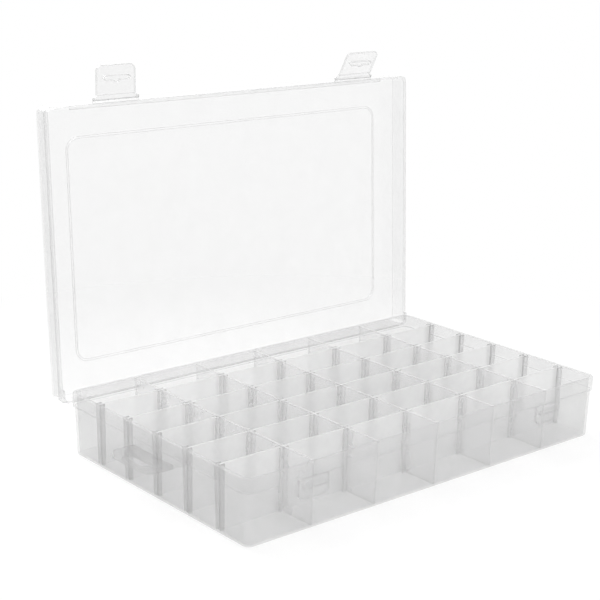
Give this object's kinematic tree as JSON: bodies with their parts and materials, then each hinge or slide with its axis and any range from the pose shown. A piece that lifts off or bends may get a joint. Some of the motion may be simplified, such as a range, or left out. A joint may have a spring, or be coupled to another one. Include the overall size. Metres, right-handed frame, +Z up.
{
  "type": "bead storage box",
  "caption": "Clear shallow organiser box: a partitioned tray with lift-out dividers, a living-hinged lid that closes over the rim and two snap latches.",
  "frame": {"origin": "centre of the tray's flat underside, which rests on the table", "axes": "+X along the long side to the right, +Y to the back where the lid is hinged, +Z up"},
  "size_m": [0.2907, 0.1943, 0.2233],
  "materials": {
    "clear_plastic": "clear, slightly milky polypropylene"
  },
  "bodies": {
    "tray": {"tray_shell": "clear_plastic", "partition_1": "clear_plastic", "partition_2": "clear_plastic", "partition_3": "clear_plastic", "partition_4": "clear_plastic", "partition_5": "clear_plastic", "left_wall_guides": "clear_plastic", "right_wall_guides": "clear_plastic", "left_catch": "clear_plastic", "right_catch": "clear_plastic", "hanging_ear": "clear_plastic", "hinge_strip": "clear_plastic"},
    "lid": {"lid": "clear_plastic"},
    "left_latch": {"left_latch": "clear_plastic"},
    "right_latch": {"right_latch": "clear_plastic"},
    "divider_1_1": {"divider_1_1": "clear_plastic"},
    "divider_1_2": {"divider_1_2": "clear_plastic"},
    "divider_1_3": {"divider_1_3": "clear_plastic"},
    "divider_1_4": {"divider_1_4": "clear_plastic"},
    "divider_1_5": {"divider_1_5": "clear_plastic"},
    "divider_2_1": {"divider_2_1": "clear_plastic"},
    "divider_2_2": {"divider_2_2": "clear_plastic"},
    "divider_2_3": {"divider_2_3": "clear_plastic"},
    "divider_2_4": {"divider_2_4": "clear_plastic"},
    "divider_2_5": {"divider_2_5": "clear_plastic"},
    "divider_3_1": {"divider_3_1": "clear_plastic"},
    "divider_3_2": {"divider_3_2": "clear_plastic"},
    "divider_3_3": {"divider_3_3": "clear_plastic"},
    "divider_3_4": {"divider_3_4": "clear_plastic"},
    "divider_3_5": {"divider_3_5": "clear_plastic"},
    "divider_4_1": {"divider_4_1": "clear_plastic"},
    "divider_4_2": {"divider_4_2": "clear_plastic"},
    "divider_4_3": {"divider_4_3": "clear_plastic"},
    "divider_4_4": {"divider_4_4": "clear_plastic"},
    "divider_4_5": {"divider_4_5": "clear_plastic"},
    "divider_5_1": {"divider_5_1": "clear_plastic"},
    "divider_5_2": {"divider_5_2": "clear_plastic"},
    "divider_5_3": {"divider_5_3": "clear_plastic"},
    "divider_5_4": {"divider_5_4": "clear_plastic"},
    "divider_5_5": {"divider_5_5": "clear_plastic"},
    "divider_6_1": {"divider_6_1": "clear_plastic"},
    "divider_6_2": {"divider_6_2": "clear_plastic"},
    "divider_6_3": {"divider_6_3": "clear_plastic"},
    "divider_6_4": {"divider_6_4": "clear_plastic"},
    "divider_6_5": {"divider_6_5": "clear_plastic"}
  },
  "joints": [
    {"name": "lid_hinge", "type": "hinge", "parent": "tray", "child": "lid", "pos_m": [0, 0.08495, 0.0314], "axis": [-1, 0, 0], "range_deg": [-93, 0]},
    {"name": "left_latch_hinge", "type": "hinge", "parent": "lid", "child": "left_latch", "pos_m": [-0.0915, 0.09757, 0.20247], "axis": [-1, 0, 0], "range_deg": [-87, 33]},
    {"name": "right_latch_hinge", "type": "hinge", "parent": "lid", "child": "right_latch", "pos_m": [0.0915, 0.09757, 0.20247], "axis": [-1, 0, 0], "range_deg": [-60, 60]},
    {"name": "divider_1_1_lift", "type": "slide", "parent": "tray", "child": "divider_1_1", "axis": [0, 0, 1], "range_m": [0, 0.045]},
    {"name": "divider_1_2_lift", "type": "slide", "parent": "tray", "child": "divider_1_2", "axis": [0, 0, 1], "range_m": [0, 0.045]},
    {"name": "divider_1_3_lift", "type": "slide", "parent": "tray", "child": "divider_1_3", "axis": [0, 0, 1], "range_m": [0, 0.045]},
    {"name": "divider_1_4_lift", "type": "slide", "parent": "tray", "child": "divider_1_4", "axis": [0, 0, 1], "range_m": [0, 0.045]},
    {"name": "divider_1_5_lift", "type": "slide", "parent": "tray", "child": "divider_1_5", "axis": [0, 0, 1], "range_m": [0, 0.045]},
    {"name": "divider_2_1_lift", "type": "slide", "parent": "tray", "child": "divider_2_1", "axis": [0, 0, 1], "range_m": [0, 0.045]},
    {"name": "divider_2_2_lift", "type": "slide", "parent": "tray", "child": "divider_2_2", "axis": [0, 0, 1], "range_m": [0, 0.045]},
    {"name": "divider_2_3_lift", "type": "slide", "parent": "tray", "child": "divider_2_3", "axis": [0, 0, 1], "range_m": [0, 0.045]},
    {"name": "divider_2_4_lift", "type": "slide", "parent": "tray", "child": "divider_2_4", "axis": [0, 0, 1], "range_m": [0, 0.045]},
    {"name": "divider_2_5_lift", "type": "slide", "parent": "tray", "child": "divider_2_5", "axis": [0, 0, 1], "range_m": [0, 0.045]},
    {"name": "divider_3_1_lift", "type": "slide", "parent": "tray", "child": "divider_3_1", "axis": [0, 0, 1], "range_m": [0, 0.045]},
    {"name": "divider_3_2_lift", "type": "slide", "parent": "tray", "child": "divider_3_2", "axis": [0, 0, 1], "range_m": [0, 0.045]},
    {"name": "divider_3_3_lift", "type": "slide", "parent": "tray", "child": "divider_3_3", "axis": [0, 0, 1], "range_m": [0, 0.045]},
    {"name": "divider_3_4_lift", "type": "slide", "parent": "tray", "child": "divider_3_4", "axis": [0, 0, 1], "range_m": [0, 0.045]},
    {"name": "divider_3_5_lift", "type": "slide", "parent": "tray", "child": "divider_3_5", "axis": [0, 0, 1], "range_m": [0, 0.045]},
    {"name": "divider_4_1_lift", "type": "slide", "parent": "tray", "child": "divider_4_1", "axis": [0, 0, 1], "range_m": [0, 0.045]},
    {"name": "divider_4_2_lift", "type": "slide", "parent": "tray", "child": "divider_4_2", "axis": [0, 0, 1], "range_m": [0, 0.045]},
    {"name": "divider_4_3_lift", "type": "slide", "parent": "tray", "child": "divider_4_3", "axis": [0, 0, 1], "range_m": [0, 0.045]},
    {"name": "divider_4_4_lift", "type": "slide", "parent": "tray", "child": "divider_4_4", "axis": [0, 0, 1], "range_m": [0, 0.045]},
    {"name": "divider_4_5_lift", "type": "slide", "parent": "tray", "child": "divider_4_5", "axis": [0, 0, 1], "range_m": [0, 0.045]},
    {"name": "divider_5_1_lift", "type": "slide", "parent": "tray", "child": "divider_5_1", "axis": [0, 0, 1], "range_m": [0, 0.045]},
    {"name": "divider_5_2_lift", "type": "slide", "parent": "tray", "child": "divider_5_2", "axis": [0, 0, 1], "range_m": [0, 0.045]},
    {"name": "divider_5_3_lift", "type": "slide", "parent": "tray", "child": "divider_5_3", "axis": [0, 0, 1], "range_m": [0, 0.045]},
    {"name": "divider_5_4_lift", "type": "slide", "parent": "tray", "child": "divider_5_4", "axis": [0, 0, 1], "range_m": [0, 0.045]},
    {"name": "divider_5_5_lift", "type": "slide", "parent": "tray", "child": "divider_5_5", "axis": [0, 0, 1], "range_m": [0, 0.045]},
    {"name": "divider_6_1_lift", "type": "slide", "parent": "tray", "child": "divider_6_1", "axis": [0, 0, 1], "range_m": [0, 0.045]},
    {"name": "divider_6_2_lift", "type": "slide", "parent": "tray", "child": "divider_6_2", "axis": [0, 0, 1], "range_m": [0, 0.045]},
    {"name": "divider_6_3_lift", "type": "slide", "parent": "tray", "child": "divider_6_3", "axis": [0, 0, 1], "range_m": [0, 0.045]},
    {"name": "divider_6_4_lift", "type": "slide", "parent": "tray", "child": "divider_6_4", "axis": [0, 0, 1], "range_m": [0, 0.045]},
    {"name": "divider_6_5_lift", "type": "slide", "parent": "tray", "child": "divider_6_5", "axis": [0, 0, 1], "range_m": [0, 0.045]}
  ]
}
